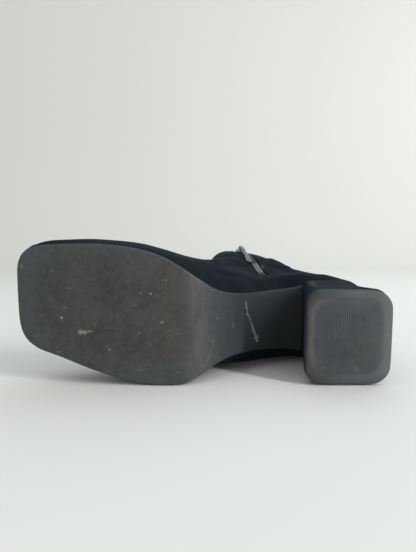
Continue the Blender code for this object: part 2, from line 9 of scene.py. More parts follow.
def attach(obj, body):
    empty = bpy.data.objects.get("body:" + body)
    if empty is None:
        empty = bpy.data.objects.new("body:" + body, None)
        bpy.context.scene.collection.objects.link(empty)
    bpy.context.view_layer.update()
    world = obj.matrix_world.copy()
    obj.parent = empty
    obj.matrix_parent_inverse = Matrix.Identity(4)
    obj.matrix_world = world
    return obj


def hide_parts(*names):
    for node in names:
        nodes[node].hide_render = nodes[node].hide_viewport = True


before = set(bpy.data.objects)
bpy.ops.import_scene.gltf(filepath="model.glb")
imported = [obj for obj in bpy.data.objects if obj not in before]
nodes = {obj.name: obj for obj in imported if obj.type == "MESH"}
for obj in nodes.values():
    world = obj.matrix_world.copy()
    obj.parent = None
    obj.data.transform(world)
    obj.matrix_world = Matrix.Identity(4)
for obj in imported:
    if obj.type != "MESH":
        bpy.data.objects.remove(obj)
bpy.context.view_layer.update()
mm = 0.001
print("frame loaded:", len(nodes), "nodes")

# Places are in millimetres of the row frame: -X toe, +X heel, +Y up the shaft, +Z inner side.


def scaled(values, factor):
    return tuple(value * factor for value in values)


def ramp(values, low, high):
    # 0 below low, 1 above high, straight between
    return np.clip((values - low) / (high - low), 0, 1)


def eased(share):
    return share * share * (3 - 2 * share)


def makeActive(piece):
    bpy.ops.object.select_all(action="DESELECT")
    piece.select_set(True)
    bpy.context.view_layer.objects.active = piece


def startEdit(piece):
    # edit mode, with all of the mesh selected
    makeActive(piece)
    bpy.ops.object.mode_set(mode="EDIT")
    bpy.ops.mesh.select_all(action="SELECT")


def endEdit():
    bpy.ops.object.mode_set(mode="OBJECT")


def applyModifier(piece, kind, **settings):
    modifier = piece.modifiers.new(kind, kind)
    for key, value in settings.items():
        setattr(modifier, key, value)
    makeActive(piece)
    bpy.ops.object.modifier_apply(modifier=modifier.name)


def readTriples(items, label):
    values = np.zeros(len(items) * 3)
    items.foreach_get(label, values)
    return values.reshape(-1, 3)


def readPoints(piece):
    return readTriples(piece.data.vertices, "co") / mm


def writePoints(piece, points):
    piece.data.vertices.foreach_set("co", (points * mm).ravel())
    piece.data.update()


def finishPiece(piece, materials, degrees, body, node=None):
    # its materials and shading, then its body, and hides the node it replaces
    for material in materials:
        piece.data.materials.append(material)
    makeActive(piece)
    bpy.ops.object.shade_smooth_by_angle(angle=math.radians(degrees))
    bpy.ops.object.transform_apply(location=True, rotation=True, scale=True)
    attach(piece, body)
    if node:
        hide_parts(node)


def copyNode(node, name):
    # a merged working copy of a solid, with its triangles joined to quads
    piece = nodes[node].copy()
    piece.data = nodes[node].data.copy()
    piece.name = name
    piece.data.name = name
    piece.parent = None
    for key in list(piece.keys()):
        del piece[key]
    bpy.context.collection.objects.link(piece)
    piece.data.materials.clear()
    makeActive(piece)
    if piece.data.has_custom_normals:
        bpy.ops.mesh.customdata_custom_splitnormals_clear()
    startEdit(piece)
    bpy.ops.mesh.remove_doubles(threshold=0.000002)
    bpy.ops.mesh.tris_convert_to_quads(face_threshold=math.radians(50), shape_threshold=math.radians(80))
    endEdit()
    return piece


def keepSharp(piece, degrees, crease):
    # creases the edges that turn by more than an angle, so that smoothing keeps them
    startEdit(piece)
    bpy.ops.mesh.select_mode(type="EDGE")
    bpy.ops.mesh.select_all(action="DESELECT")
    bpy.ops.mesh.edges_select_sharp(sharpness=math.radians(degrees))
    endEdit()
    chosen = np.zeros(len(piece.data.edges), bool)
    piece.data.edges.foreach_get("select", chosen)
    creases = piece.data.attributes.new("crease_edge", "FLOAT", "EDGE")
    creases.data.foreach_set("value", chosen * crease)


def smoothCopy(node, name, degrees, levels, crease=1.0):
    # a copy of a solid, made smooth between its sharp edges
    piece = copyNode(node, name)
    keepSharp(piece, degrees, crease)
    applyModifier(piece, "SUBSURF", levels=levels)
    return piece


def addBevel(piece, width, segments, degrees):
    applyModifier(piece, "BEVEL", width=width * mm, segments=segments, limit_method="ANGLE",
                  angle_limit=math.radians(degrees))


def rayTree(piece):
    # for casting rays onto a piece
    return BVHTree.FromPolygons([vertex.co.copy() for vertex in piece.data.vertices],
                                [tuple(face.vertices) for face in piece.data.polygons])


def sizePattern(size):
    # the mesh just added, at a size in mm
    pattern = bpy.context.object
    pattern.scale = scaled(size, mm)
    bpy.ops.object.transform_apply(scale=True)
    return pattern


def placeCopy(pattern, across, along, outward, place):
    # a copy of a small piece, turned to three directions at a place
    copy = pattern.copy()
    copy.data = pattern.data.copy()
    bpy.context.collection.objects.link(copy)
    turn = Matrix((across, along, outward)).transposed().to_4x4()
    turn.translation = place
    copy.matrix_world = turn
    return copy


def joinCopies(pattern, copies, name):
    # one piece from all copies; the pattern itself goes
    bpy.data.objects.remove(pattern)
    bpy.context.view_layer.update()
    makeActive(copies[0])
    for copy in copies:
        copy.select_set(True)
    bpy.ops.object.join()
    copies[0].name = name
    return copies[0]


def routeDistance(points, route):
    # distance of each point from a route of straight steps, and how far along it that is, 0 to 1
    route = np.array(route, float)
    steps = np.linalg.norm(np.diff(route, axis=0), axis=1)
    starts = np.concatenate([[0], np.cumsum(steps)])
    best = np.full(len(points), 1e9)
    along = np.zeros(len(points))
    for first, second, start, step in zip(route, route[1:], starts, steps):
        share = np.clip(((points - first) @ (second - first)) / step ** 2, 0, 1)
        gap = np.linalg.norm(points - (first + share[:, None] * (second - first)), axis=1)
        nearer = gap < best
        best[nearer] = gap[nearer]
        along[nearer] = ((start + share * step) / starts[-1])[nearer]
    return best, along


def smoothRoute(points, count):
    # a smooth line through given points
    points = np.array(points, float)
    padded = np.vstack([2 * points[0] - points[1], points, 2 * points[-1] - points[-2]])
    line = []
    for a, b, c, d in zip(padded, padded[1:], padded[2:], padded[3:]):
        for t in np.linspace(0, 1, count, endpoint=False):
            line.append(0.5 * (2 * b + (c - a) * t + (2 * a - 5 * b + 4 * c - d) * t ** 2
                               + (3 * b - a - 3 * c + d) * t ** 3))
    line.append(points[-1])
    return np.array(line)


def alongLine(line):
    # the line's length, and a function from a distance along it to the place there
    steps = np.concatenate([[0], np.cumsum(np.linalg.norm(np.diff(line, axis=0), axis=1))])
    return steps[-1], lambda distance: np.array([np.interp(distance, steps, line[:, k]) for k in range(3)])


def setSocket(tree, socket, value):
    # links another node's output, or stores a plain value; colours are three numbers
    if isinstance(value, bpy.types.NodeSocket):
        tree.links.new(value, socket)
    elif socket.type == "RGBA":
        socket.default_value = (*value, 1.0)
    else:
        socket.default_value = value


def addNode(tree, kind, settings=None, **values):
    # inputs go by their name, with _ for a space, or by i and their number
    node = tree.nodes.new("ShaderNode" + kind)
    for key, value in (settings or {}).items():
        setattr(node, key, value)
    for key, value in values.items():
        label = int(key[1:]) if key[0] == "i" and key[1:].isdigit() else key.replace("_", " ")
        setSocket(tree, node.inputs[label], value)
    return node


def maths(tree, operation, first, second=0.0, clamp=False):
    return addNode(tree, "Math", {"operation": operation, "use_clamp": clamp},
                   i0=first, i1=second).outputs[0]


def times(tree, first, second):
    return maths(tree, "MULTIPLY", first, second)


def plus(tree, first, second):
    return maths(tree, "ADD", first, second)


def minus(tree, first, second):
    return maths(tree, "SUBTRACT", first, second)


def vectorMaths(tree, operation, first, second=(0, 0, 0), **more):
    node = addNode(tree, "VectorMath", {"operation": operation}, i0=first, i1=second, **more)
    return node.outputs["Value" if operation in ("LENGTH", "DISTANCE", "DOT_PRODUCT") else "Vector"]


def mixColours(tree, share, first, second):
    return addNode(tree, "Mix", {"data_type": "RGBA"}, i0=share, i6=first, i7=second).outputs[2]


def noiseAt(tree, place, scale, detail, **more):
    node = addNode(tree, "TexNoise", Vector=place, Scale=scale, Detail=detail, **more)
    return node.outputs["Fac"]


def swing(tree, noise, reach):
    # a noise from 0 to 1, turned into a shift either way
    return times(tree, minus(tree, noise, 0.5), reach)


def raggedPlace(tree, place, noise, reach):
    # the place, shifted by the noise's colour; reach is in mm
    shift = vectorMaths(tree, "SUBTRACT", noise.node.outputs["Color"], (0.5, 0.5, 0.5))
    return vectorMaths(tree, "MULTIPLY_ADD", shift, scaled(reach, mm), i2=place)


def spanMask(tree, value, low, high):
    # 0 below low, 1 above high, smooth between
    return addNode(tree, "MapRange", {"interpolation_type": "SMOOTHSTEP"}, Value=value,
                   From_Min=low, From_Max=high).outputs["Result"]


def fadeMask(tree, value, low, high):
    # 1 below low, 0 above high, smooth between
    return minus(tree, 1.0, spanMask(tree, value, low, high))


def bandMask(tree, value, low, full, ending, gone):
    # grows to 1 from low to full, and falls to 0 from ending to gone
    return times(tree, spanMask(tree, value, low, full), fadeMask(tree, value, ending, gone))


def bumpFrom(tree, height, strength, distance):
    bump = addNode(tree, "Bump", Strength=strength, Distance=distance, Height=height)
    return bump.outputs["Normal"]


def newGroup(name, inputs, outputs):
    # a node group with sockets of given kinds
    group = bpy.data.node_groups.new(name, "ShaderNodeTree")
    for side, sockets in (("INPUT", inputs), ("OUTPUT", outputs)):
        for label, kind in sockets.items():
            group.interface.new_socket(name=label, in_out=side, socket_type="NodeSocket" + kind)
    return group, group.nodes.new("NodeGroupInput").outputs, group.nodes.new("NodeGroupOutput").inputs


def makeNapGroup():
    # brushed suede: cloudy patches, short fibres, and a bump from both
    group, start, end = newGroup("suedeNap", {
        "Vector": "Vector", "Dark": "Color", "Light": "Color",
        "Patch Scale": "Float", "Fibre Scale": "Float", "Bump": "Float",
    }, {"Color": "Color", "Normal": "Vector"})
    patches = noiseAt(group, start["Vector"], start["Patch Scale"], 4.0, Roughness=0.6)
    fibres = noiseAt(group, start["Vector"], start["Fibre Scale"], 3.0, Roughness=0.7)
    soft = times(group, spanMask(group, patches, 0.34, 0.70), 0.55)
    fine = times(group, spanMask(group, fibres, 0.25, 0.80), 0.45)
    both = plus(group, fine, soft)
    group.links.new(mixColours(group, both, start["Dark"], start["Light"]), end["Color"])
    group.links.new(bumpFrom(group, both, start["Bump"], 0.0004), end["Normal"])
    return group


def makeDustGroup():
    # dust and grit over a colour: a cloudy film, and fine specks
    group, start, end = newGroup("dustFilm", {
        "Vector": "Vector", "Color": "Color", "Dust": "Color", "Amount": "Float",
        "Cloud Scale": "Float", "Speck Scale": "Float", "Specks": "Float",
    }, {"Color": "Color"})
    cloud = noiseAt(group, start["Vector"], start["Cloud Scale"], 6.0, Roughness=0.62)
    film = times(group, spanMask(group, cloud, 0.30, 0.78), start["Amount"])
    cells = addNode(group, "TexVoronoi", Vector=start["Vector"], Scale=start["Speck Scale"])
    small = fadeMask(group, cells.outputs["Distance"], 0.10, 0.28)
    pick = addNode(group, "SeparateColor", Color=cells.outputs["Color"])
    rare = spanMask(group, pick.outputs["Red"], 0.86, 0.97)
    speck = times(group, times(group, small, rare), start["Specks"])
    mask = maths(group, "MAXIMUM", film, speck)
    group.links.new(mixColours(group, mask, start["Color"], start["Dust"]), end["Color"])
    return group


def makeSpotGroup():
    # a small mark at a place: 1 in its middle, 0 outside
    group, start, end = newGroup("spotMark", {
        "Vector": "Vector", "Centre": "Vector", "Radius": "Vector", "Strength": "Float",
    }, {"Mask": "Float"})
    away = vectorMaths(group, "SUBTRACT", start["Vector"], start["Centre"])
    length = vectorMaths(group, "LENGTH", vectorMaths(group, "DIVIDE", away, start["Radius"]))
    mark = times(group, fadeMask(group, length, 0.35, 1.0), start["Strength"])
    group.links.new(mark, end["Mask"])
    return group


def makeLineGroup():
    # a scratch from one place to another: 1 along it, 0 beyond its half width
    group, start, end = newGroup("lineMark", {
        "Vector": "Vector", "From": "Vector", "Run": "Vector", "Half": "Float",
    }, {"Mask": "Float"})
    away = vectorMaths(group, "SUBTRACT", start["Vector"], start["From"])
    reach = vectorMaths(group, "DOT_PRODUCT", away, start["Run"])
    whole = vectorMaths(group, "DOT_PRODUCT", start["Run"], start["Run"])
    share = maths(group, "DIVIDE", reach, whole, clamp=True)
    step = vectorMaths(group, "SCALE", start["Run"], Scale=share)
    part = maths(group, "DIVIDE", vectorMaths(group, "DISTANCE", away, step), start["Half"])
    group.links.new(fadeMask(group, part, 0.45, 1.0), end["Mask"])
    return group


napGroup = makeNapGroup()
lineGroup = makeLineGroup()
dustGroup = makeDustGroup()
spotGroup = makeSpotGroup()


def placeGroup(tree, group, **values):
    return addNode(tree, "Group", {"node_tree": group}, **values).outputs


def startMaterial(name, roughness, metallic=0.0, sheen=0.0, specular=0.5, sheenTint=(1, 1, 1)):
    # a material, its tree, and the place on the piece in metres
    material = bpy.data.materials.new(name)
    material.use_nodes = True
    tree = material.node_tree
    values = {"Roughness": roughness, "Metallic": metallic, "Specular IOR Level": specular,
              "Sheen Weight": sheen, "Sheen Roughness": 0.45, "Sheen Tint": sheenTint}
    for label, value in values.items():
        setSocket(tree, tree.nodes["Principled BSDF"].inputs[label], value)
    return material, tree, tree.nodes.new("ShaderNodeTexCoord").outputs["Object"]


def setLook(material, colour, normal=None):
    # ends a material with its colour, and its bump where it has one
    inputs = material.node_tree.nodes["Principled BSDF"].inputs
    setSocket(material.node_tree, inputs["Base Color"], colour)
    if normal:
        setSocket(material.node_tree, inputs["Normal"], normal)
    return material


def placeParts(tree, place):
    # the place's three parts, in mm
    parts = addNode(tree, "SeparateXYZ", Vector=place).outputs
    return [maths(tree, "DIVIDE", part, mm) for part in parts]


def markMask(tree, place, marks):
    # all the marks of one colour as one mask, with ragged outlines
    ragged = raggedPlace(tree, place, noiseAt(tree, place, 900.0, 3.0), (1.4, 1.4, 1.4))
    total = 0.0
    for *row, strength in marks:
        spot = placeGroup(tree, spotGroup, Vector=ragged, Centre=scaled(row[:3], mm),
                          Radius=scaled(row[3:], mm), Strength=strength)
        total = maths(tree, "MAXIMUM", total, spot["Mask"])
    return total


suede = {
    "dark": (0.0015, 0.0029, 0.0049),
    "light": (0.0046, 0.0093, 0.0143),
    "dust": (0.044, 0.050, 0.056),
    "dustAmount": 0.05,
    "roughness": 0.93,
    "sheen": 0.035,
    "sheenTint": (0.36, 0.68, 0.98),
    # pale colour of the rubbed spots and of the painted highlights
    "scuffAndHighlight": (0.085, 0.092, 0.100),
    # pale rubbed spots, and painted highlights on the heel block's front inner corner: place and half sizes
    # in mm, strength
    "scuffsAndHighlights": [
        # the first two: painted highlights where the heel block's front inner corner catches the light
        (73.8, -38.0, 61.9, 2.8, 13.0, 2.4, 0.75), (77.0, -28.0, 62.4, 2.6, 10.0, 2.4, 0.35),
        (40.0, -8.0, 65.4, 1.6, 1.2, 1.0, 0.35), (46.2, 11.0, 73.0, 1.3, 6.0, 2.0, 0.8),
        (44.2, 12.5, 71.3, 2.6, 8.0, 3.4, 0.95),
        (-96.0, -66.0, 90.0, 6.0, 1.2, 1.6, 0.20), (-60.0, -60.0, 88.0, 9.0, 1.2, 1.5, 0.16),
        (113.0, -30.0, 58.0, 2.5, 5.0, 2.0, 0.22), (-108.0, -58.0, 30.0, 3.0, 4.0, 5.0, 0.25),
    ],
}


def makeSuede():
    # black suede with a brushed nap, thin dust, a few rubbed places and painted highlights
    material, tree, place = startMaterial("blackSuede", suede["roughness"], sheen=suede["sheen"],
                                          specular=0.12, sheenTint=suede["sheenTint"])
    nap = placeGroup(tree, napGroup, Vector=place, Dark=suede["dark"], Light=suede["light"],
                     Patch_Scale=70.0, Fibre_Scale=1500.0, Bump=0.35)
    dust = placeGroup(tree, dustGroup, Vector=place, Color=nap["Color"], Dust=suede["dust"],
                      Amount=suede["dustAmount"], Cloud_Scale=38.0, Speck_Scale=420.0, Specks=0.10)
    broken = spanMask(tree, noiseAt(tree, place, 1400.0, 3.0), 0.30, 0.65)
    # pale rubbed spots, and painted highlights on the heel block
    worn = times(tree, markMask(tree, place, suede["scuffsAndHighlights"]), broken)
    return setLook(material, mixColours(tree, worn, dust["Color"], suede["scuffAndHighlight"]), nap["Normal"])


lining = {"colour": (0.020, 0.019, 0.019), "thread": (0.048, 0.046, 0.045), "weave": 250.0, "slant": 40}


def makeLining():
    # fine twill, seen through the collar
    material, tree, place = startMaterial("collarLining", 0.85, sheen=0.1, specular=0.3)
    slanted = addNode(tree, "Mapping", Vector=place,
                      Rotation=(0, 0, math.radians(lining["slant"]))).outputs[0]
    wave = addNode(tree, "TexWave", {"bands_direction": "X"}, Vector=slanted,
                   Scale=lining["weave"], Distortion=0.6, Detail=1.0).outputs["Fac"]
    share = times(tree, wave, noiseAt(tree, place, 90.0, 4.0))
    colour = mixColours(tree, share, lining["colour"], lining["thread"])
    return setLook(material, colour, bumpFrom(tree, wave, 0.25, 0.0002))


soleMarks = {
    # colour, then place and half sizes in mm (along the boot, up the heel, across) and strength
    "grit": ((0.35, 0.35, 0.33), [
        (-92.2, -74.4, 43.8, 0.9, 0.9, 0.9, 0.95), (-86.8, -75.6, 62.5, 1.0, 1.0, 0.8, 0.34),
        (-97.6, -74.8, 73.3, 0.9, 1.0, 0.5, 0.37), (-90.1, -75.8, 75.4, 0.6, 1.0, 0.6, 0.19),
        (-36.0, -76.3, 59.0, 1.0, 1.0, 0.7, 0.8), (-42.2, -76.3, 59.6, 1.0, 1.0, 0.7, 0.22),
        (-26.4, -76.6, 67.6, 1.0, 1.0, 0.7, 0.25), (-62.2, -75.0, 23.5, 0.8, 1.0, 0.9, 0.37),
        (-63.6, -75.0, 25.6, 0.7, 1.0, 1.3, 0.19), (-95.3, -73.1, 21.8, 1.3, 1.0, 0.6, 0.31),
        (-105.5, -72.5, 45.2, 0.9, 1.0, 0.5, 0.28), (-117.6, -71.3, 76.0, 0.9, 1.2, 2.2, 0.28),
        (-43.6, -75.4, 34.3, 1.3, 1.0, 0.8, 0.22), (-36.5, -75.1, 27.0, 0.8, 1.0, 0.8, 0.22),
        (-43.5, -74.5, 10.5, 3.2, 1.0, 0.5, 0.19), (-19.2, -74.4, 8.8, 0.8, 1.0, 1.0, 0.22),
        (-89.8, -74.9, 50.2, 1.2, 1.0, 0.7, 0.22), (-56.7, -75.8, 44.5, 1.1, 1.0, 0.8, 0.14),
        (5.8, -65.0, 42.0, 0.7, 1.0, 1.0, 0.37), (-103.0, -74.0, 29.5, 0.6, 1.0, 0.6, 0.19),
        (-46.0, -76.0, 52.0, 1.6, 1.0, 0.5, 0.12), (-70.0, -75.6, 41.0, 0.8, 1.0, 1.4, 0.14),
    ]),
    "clay": ((0.27, 0.225, 0.165), [
        (-80.2, -75.0, 34.9, 2.6, 1.4, 2.1, 0.85), (-77.6, -75.2, 34.6, 2.0, 1.4, 1.8, 0.75),
        (-74.6, -75.3, 35.3, 2.3, 1.4, 0.9, 0.6),
    ]),
    "straw": ((0.30, 0.29, 0.14), [
        (-29.2, -75.6, 41.1, 1.5, 1.2, 1.2, 0.45), (-34.0, -75.7, 43.5, 0.8, 1.2, 1.8, 0.15),
        (-71.0, -75.4, 39.6, 0.8, 1.2, 0.9, 0.25),
    ]),
    "rust": ((0.24, 0.10, 0.035), [
        (16.6, -55.8, 35.0, 0.8, 1.4, 1.5, 0.75), (16.0, -56.3, 36.8, 0.7, 1.2, 0.9, 0.4),
    ]),
}

rubber = {
    "cool": (0.0468, 0.0536, 0.0606),
    "warm": (0.0462, 0.0453, 0.0412),
    "deep": (0.0335, 0.0352, 0.0348),
    "worn": (0.1500, 0.1490, 0.1430),
    # painted shade: the heel's shadow over the arch of the sole, put into the rubber's colour
    "waist": (0.0260, 0.0305, 0.0365),
    "dust": (0.122, 0.122, 0.116),
    "scratch": (0.21, 0.20, 0.18),
    # bands in mm: start, full, begin to end, gone
    "warmBand": (-112.0, -62.0, -30.0, 8.0),
    "innerBand": (0.0, 26.0, 64.0, 94.0),
    "troddenBand": (-112.0, -92.0, -52.0, -20.0),
    "bendBand": (-15.0, -8.0, -5.0, 8.0),
    "waistStart": (-9.0, 27.0),
    "drift": 60.0,  # how far noise moves the bands, in mm
    "bendDrift": 12.0,
    "deepShare": 0.75,
    "bendShare": 0.36,
    "scrapeShare": 0.05,
}


def makeSoleRubber():
    # dusty rubber: cool at the toe, warm in the middle, worn pale where it bends, and painted shade
    # darkening the sole between the ball and the heel
    material, tree, place = startMaterial("soleRubber", 0.8, specular=0.3)
    along, _, across = placeParts(tree, place)
    drift = swing(tree, noiseAt(tree, place, 30.0, 5.0, Roughness=0.6), rubber["drift"])
    alongWavy = plus(tree, along, drift)
    inside = bandMask(tree, plus(tree, across, drift), *rubber["innerBand"])
    warm = times(tree, bandMask(tree, alongWavy, *rubber["warmBand"]), inside)
    base = mixColours(tree, warm, rubber["cool"], rubber["warm"])
    trodden = times(tree, bandMask(tree, alongWavy, *rubber["troddenBand"]), inside)
    base = mixColours(tree, times(tree, trodden, rubber["deepShare"]), base, rubber["deep"])
    streaks = addNode(tree, "Mapping", Vector=place, Scale=(1.0, 1.0, 0.22)).outputs[0]
    rubbed = noiseAt(tree, streaks, 260.0, 4.0)
    alongBand = plus(tree, along, swing(tree, noiseAt(tree, streaks, 70.0, 3.0), rubber["bendDrift"]))
    patchy = times(tree, bandMask(tree, alongBand, *rubber["bendBand"]), spanMask(tree, rubbed, 0.22, 0.72))
    base = mixColours(tree, times(tree, patchy, rubber["bendShare"]), base, rubber["worn"])
    lengthwise = addNode(tree, "Mapping", Vector=place, Scale=(0.16, 1.0, 1.0)).outputs[0]
    scrape = noiseAt(tree, lengthwise, 420.0, 4.0)
    scraped = times(tree, spanMask(tree, scrape, 0.50, 0.80), rubber["scrapeShare"])
    base = mixColours(tree, scraped, base, rubber["worn"])
    dust = placeGroup(tree, dustGroup, Vector=place, Color=base, Dust=rubber["dust"], Amount=0.20,
                      Cloud_Scale=55.0, Speck_Scale=330.0, Specks=0.5)
    grit = placeGroup(tree, dustGroup, Vector=place, Color=dust["Color"], Dust=rubber["dust"],
                      Amount=0.25, Cloud_Scale=260.0, Speck_Scale=760.0, Specks=0.75)
    # painted shade: darker from the ball towards the heel
    waist = spanMask(tree, alongBand, *rubber["waistStart"])
    colour = mixColours(tree, waist, grit["Color"], rubber["waist"])
    for tint, marks in soleMarks.values():
        colour = mixColours(tree, markMask(tree, place, marks), colour, tint)
    colour = mixColours(tree, scratchMask(tree, place), colour, rubber["scratch"])
    height = plus(tree, noiseAt(tree, place, 1400.0, 3.0), times(tree, rubbed, 0.8))
    height = plus(tree, height, times(tree, scrape, 0.2))
    return setLook(material, colour, bumpFrom(tree, height, 0.32, 0.0003))


scratches = [
    # route and half width in mm, and strength
    ([(25.6, -48.4, 50.8), (26.2, -47.6, 46.0), (27.0, -46.8, 41.7), (29.0, -44.9, 37.0),
      (30.6, -43.4, 32.6)], 0.9, 0.75),
    ([(30.6, -43.4, 32.6), (32.0, -42.0, 28.0), (34.2, -39.9, 22.6)], 1.25, 0.9),
    ([(33.6, -40.5, 24.4), (34.6, -39.6, 21.6)], 1.9, 0.9),
    ([(-3.4, -69.8, 12.0), (-0.6, -68.4, 16.0), (1.5, -67.1, 20.5), (3.4, -66.1, 27.5)], 0.6, 0.32),
    ([(-6.0, -71.0, 8.5), (-2.6, -69.6, 11.8), (0.8, -68.0, 16.8)], 0.5, 0.20),
    ([(12.0, -59.6, 57.0), (16.5, -56.4, 47.0)], 0.25, 0.25),
    ([(-104.0, -73.5, 52.0), (-97.0, -73.8, 57.0)], 0.22, 0.22),
    ([(-72.0, -75.0, 61.0), (-60.0, -75.4, 63.5)], 0.2, 0.16),
    ([(-58.0, -74.6, 18.0), (-50.0, -74.6, 15.0)], 0.22, 0.2),
]


def scratchMask(tree, place):
    # all scratches as one mask, broken up along their length
    noise = noiseAt(tree, place, 550.0, 4.0)
    bent = raggedPlace(tree, place, noise, (3.0, 3.0, 3.0))
    total = 0.0
    for route, half, strength in scratches:
        line = smoothRoute(route, 2)
        for first, second in zip(line, line[1:]):
            mark = placeGroup(tree, lineGroup, Vector=bent, From=tuple(first * mm),
                              Run=tuple((second - first) * mm), Half=half * mm)
            total = maths(tree, "MAXIMUM", total, times(tree, mark["Mask"], strength))
    return times(tree, total, spanMask(tree, noise, 0.28, 0.48))


tipShape = {
    "sharp": 20,
    "shading": 40,
    "treadHeight": -75.25,  # of the tread along Y where Z is tipMiddle
    "tipMiddle": 31.0,
    "lean": 0.0384,  # change of that height with Z
    "grooveDepth": (0.03, 0.7),  # points of the solid's groove, set flat
    "grooveHalf": (22.5, 26.5),
    "rim": 1.0,  # rounding of the worn rim
    "cutHalf": (23, 28),  # the fine grid that carries the ribs, along and across
    "cutSpacing": (0.275, 1.6),
    "panelEdge": (0.92, 1.06),  # the panel's soft edge, as a share of its size
    "squareness": 5,  # of the panel's outline
    "treadDepth": 0.05,
    "recess": 0.45,
    "ribHeight": 0.13,
    "ribPitch": 1.1,
    "ribReach": 0.98,  # where the ribs are worn away, and over how much
    "ribFade": 0.45,
    "unevenness": 0.05,
}

heelTip = {
    "rim": (0.0900, 0.1005, 0.1095),
    "panel": (0.0620, 0.0690, 0.0780),
    # dark: the tone of the rib lines, and painted shade at the front and along the outer side of the rim
    "dark": (0.0330, 0.0360, 0.0410),
    "paintedHighlight": (0.1350, 0.1440, 0.1560),
    # side: painted shade down the tip's side walls
    "side": (0.0180, 0.0210, 0.0260),
    "haze": (0.1500, 0.1340, 0.1080),
    "centre": (86.0, 31.5),
    "panelHalf": (23.6, 26.0),
    "grit": (0.34, 0.33, 0.31),
    # spans in mm over which the tip's colours change, along the boot, across it and into the heel; they
    # paint light towards the back and shade at the front, on the outer side and down the sides
    "paintedLightSpan": (84.0, 124.0),
    "rimShadeSpan": (66.0, 94.0),
    "highlightSpan": (100.0, 113.0),
    "outerShadeSpan": (2.0, 14.0),
    "sideShadeSpan": (0.15, 0.9),
    "marks": [
        (79.6, -75.4, 34.4, 0.4, 1.2, 1.2, 0.28), (79.7, -75.3, 32.0, 1.2, 1.2, 0.7, 0.30),
        (83.0, -75.3, 30.6, 0.8, 1.2, 0.5, 0.22), (111.5, -75.3, 33.0, 0.5, 1.2, 0.5, 0.75),
        (72.1, -74.5, 11.8, 0.9, 1.2, 0.8, 0.22), (93.6, -74.5, 10.2, 0.8, 1.2, 1.2, 0.32),
        (88.0, -75.0, 32.0, 1.2, 1.2, 0.5, 0.14), (92.2, -74.6, 12.4, 0.7, 1.2, 0.9, 0.18),
    ],
}


def makeTipRubber():
    # a dark ribbed panel in a paler worn rim, with painted light towards the back and painted shade at the
    # front, on the outer side and down its sides
    material, tree, place = startMaterial("tipRubber", 0.72, specular=0.4)
    along, up, across = placeParts(tree, place)
    powers = 0.0
    for part, centre, half in zip((along, across), heelTip["centre"], heelTip["panelHalf"]):
        away = maths(tree, "ABSOLUTE", minus(tree, part, centre))
        power = maths(tree, "POWER", maths(tree, "DIVIDE", away, half), tipShape["squareness"])
        powers = plus(tree, powers, power)
    reach = maths(tree, "POWER", powers, 1 / tipShape["squareness"])
    soft = plus(tree, reach, swing(tree, noiseAt(tree, place, 60.0, 4.0), 0.2))
    wave = maths(tree, "COSINE", times(tree, along, 2 * math.pi / tipShape["ribPitch"]))
    patch = noiseAt(tree, place, 110.0, 3.0)
    lines = times(tree, plus(tree, times(tree, wave, 0.5), 0.5), spanMask(tree, patch, 0.42, 0.66))
    lines = times(tree, lines, fadeMask(tree, soft, 0.55, 0.92))
    ribbed = mixColours(tree, times(tree, lines, 0.38), heelTip["panel"], heelTip["dark"])
    # painted light: the panel grows lighter towards the back
    paintedLight = spanMask(tree, plus(tree, along, times(tree, across, 0.35)), *heelTip["paintedLightSpan"])
    ribbed = mixColours(tree, times(tree, paintedLight, 0.65), ribbed, heelTip["rim"])
    # painted shade: the rim darker towards the front
    edge = mixColours(tree, spanMask(tree, along, *heelTip["rimShadeSpan"]), heelTip["dark"], heelTip["rim"])
    # painted highlight on the rim at the back
    paintedHighlight = times(tree, spanMask(tree, along, *heelTip["highlightSpan"]), 0.6)
    edge = mixColours(tree, paintedHighlight, edge, heelTip["paintedHighlight"])
    # painted shade along the outer side
    outer = maths(tree, "SUBTRACT", 0.5, spanMask(tree, across, *heelTip["outerShadeSpan"]), clamp=True)
    edge = mixColours(tree, outer, edge, heelTip["dark"])
    base = mixColours(tree, spanMask(tree, soft, 0.80, 1.04), ribbed, edge)
    tilt = times(tree, minus(tree, across, tipShape["tipMiddle"]), tipShape["lean"])
    depth = plus(tree, minus(tree, up, tipShape["treadHeight"]), tilt)
    # painted shade down the side walls
    base = mixColours(tree, spanMask(tree, depth, *heelTip["sideShadeSpan"]), base, heelTip["side"])
    ring = bandMask(tree, soft, 0.80, 0.89, 0.90, 0.98)
    front = times(tree, fadeMask(tree, along, 66.0, 84.0), spanMask(tree, across, 4.0, 20.0))
    haze = times(tree, times(tree, ring, front), 0.34)
    base = mixColours(tree, haze, base, heelTip["haze"])
    dust = placeGroup(tree, dustGroup, Vector=place, Color=base, Dust=rubber["dust"], Amount=0.25,
                      Cloud_Scale=80.0, Speck_Scale=380.0, Specks=0.4)
    marked = mixColours(tree, markMask(tree, place, heelTip["marks"]), dust["Color"], heelTip["grit"])
    return setLook(material, marked, bumpFrom(tree, noiseAt(tree, place, 1100.0, 3.0), 0.25, 0.0003))


sockLook = {"dark": (0.035, 0.030, 0.027), "light": (0.075, 0.062, 0.052)}


def makeInsoleLeather():
    material, tree, place = startMaterial("sockLeather", 0.55, specular=0.4)
    pores = addNode(tree, "TexVoronoi", Vector=place, Scale=900.0).outputs["Distance"]
    share = spanMask(tree, noiseAt(tree, place, 35.0, 5.0), 0.3, 0.7)
    colour = mixColours(tree, share, sockLook["dark"], sockLook["light"])
    return setLook(material, colour, bumpFrom(tree, pores, 0.2, 0.0003))


